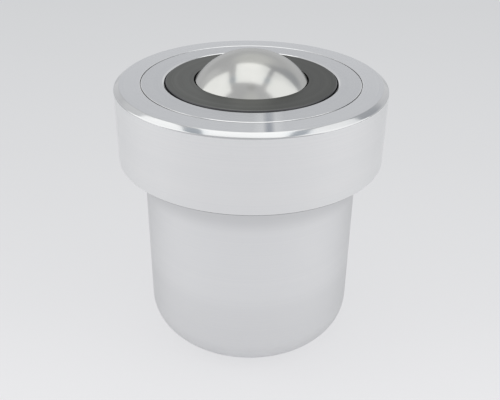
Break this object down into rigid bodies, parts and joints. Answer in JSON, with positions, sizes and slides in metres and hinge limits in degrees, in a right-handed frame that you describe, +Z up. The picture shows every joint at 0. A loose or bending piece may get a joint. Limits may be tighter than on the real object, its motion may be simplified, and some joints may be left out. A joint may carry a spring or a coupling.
{
  "type": "ball transfer unit",
  "caption": "Spring-loaded ball transfer unit with a turned drop-in housing, a flush cover ring, a dark cap and a mirror-polished ball that rolls and turns in any direction.",
  "frame": {"origin": "centre of the flat base that the unit stands on", "axes": "+Z up along the unit's axis, from the base through the ball's crown; X and Y lie in the base plane, and the unit is round about Z"},
  "size_m": [0.075, 0.075, 0.0864],
  "materials": {
    "plated_steel": "turned and bright plated, satin side, polished chamfer",
    "polished_ball": "mirror-polished bearing steel",
    "blackened_steel": "turned and blackened, satin",
    "machined_steel": "turned",
    "hardened_steel": "hardened and ground",
    "spring_steel": "oiled spring wire",
    "bearing_steel": "polished bearing steel",
    "guide_band": "filled bearing plastic",
    "felt": "oiled wool felt",
    "rubber": "matt rubber"
  },
  "bodies": {
    "housing": {"housing": "plated_steel", "cover_ring": "plated_steel", "lower_spring_seat": "machined_steel", "bump_stop": "rubber", "outer_spring": "spring_steel", "inner_spring": "spring_steel"},
    "cartridge": {"load_cup": "hardened_steel", "upper_spring_seat": "machined_steel", "lower_guide_band": "guide_band", "upper_guide_band": "guide_band", "retaining_cap": "blackened_steel", "cap_snap_ring": "spring_steel", "keeper_washer": "machined_steel", "wiper_felt": "felt", "stop_cushion": "rubber"},
    "support_balls": {"support_ball_centre": "bearing_steel", "support_balls_row_1": "bearing_steel", "support_balls_row_2": "bearing_steel", "support_balls_row_3": "bearing_steel", "support_balls_row_4": "bearing_steel", "support_balls_row_5": "bearing_steel", "support_balls_row_6": "bearing_steel", "support_balls_row_7": "bearing_steel"},
    "main_ball": {"main_ball": "polished_ball"}
  },
  "joints": [
    {"name": "cartridge_slide", "type": "slide", "parent": "housing", "child": "cartridge", "axis": [0, 0, 1], "range_m": [-0.0075, 0], "stiffness_N_per_m": 53000, "springref_m": 0.007, "deforming": ["outer_spring", "inner_spring"]},
    {"name": "support_balls_turn", "type": "hinge", "parent": "cartridge", "child": "support_balls", "pos_m": [0, 0, 0.06739], "axis": [0, 0, 1], "continuous": true},
    {"name": "ball_roll", "type": "hinge", "parent": "support_balls", "child": "main_ball", "pos_m": [0, 0, 0.06739], "axis": [1, 0, 0], "continuous": true}
  ]
}
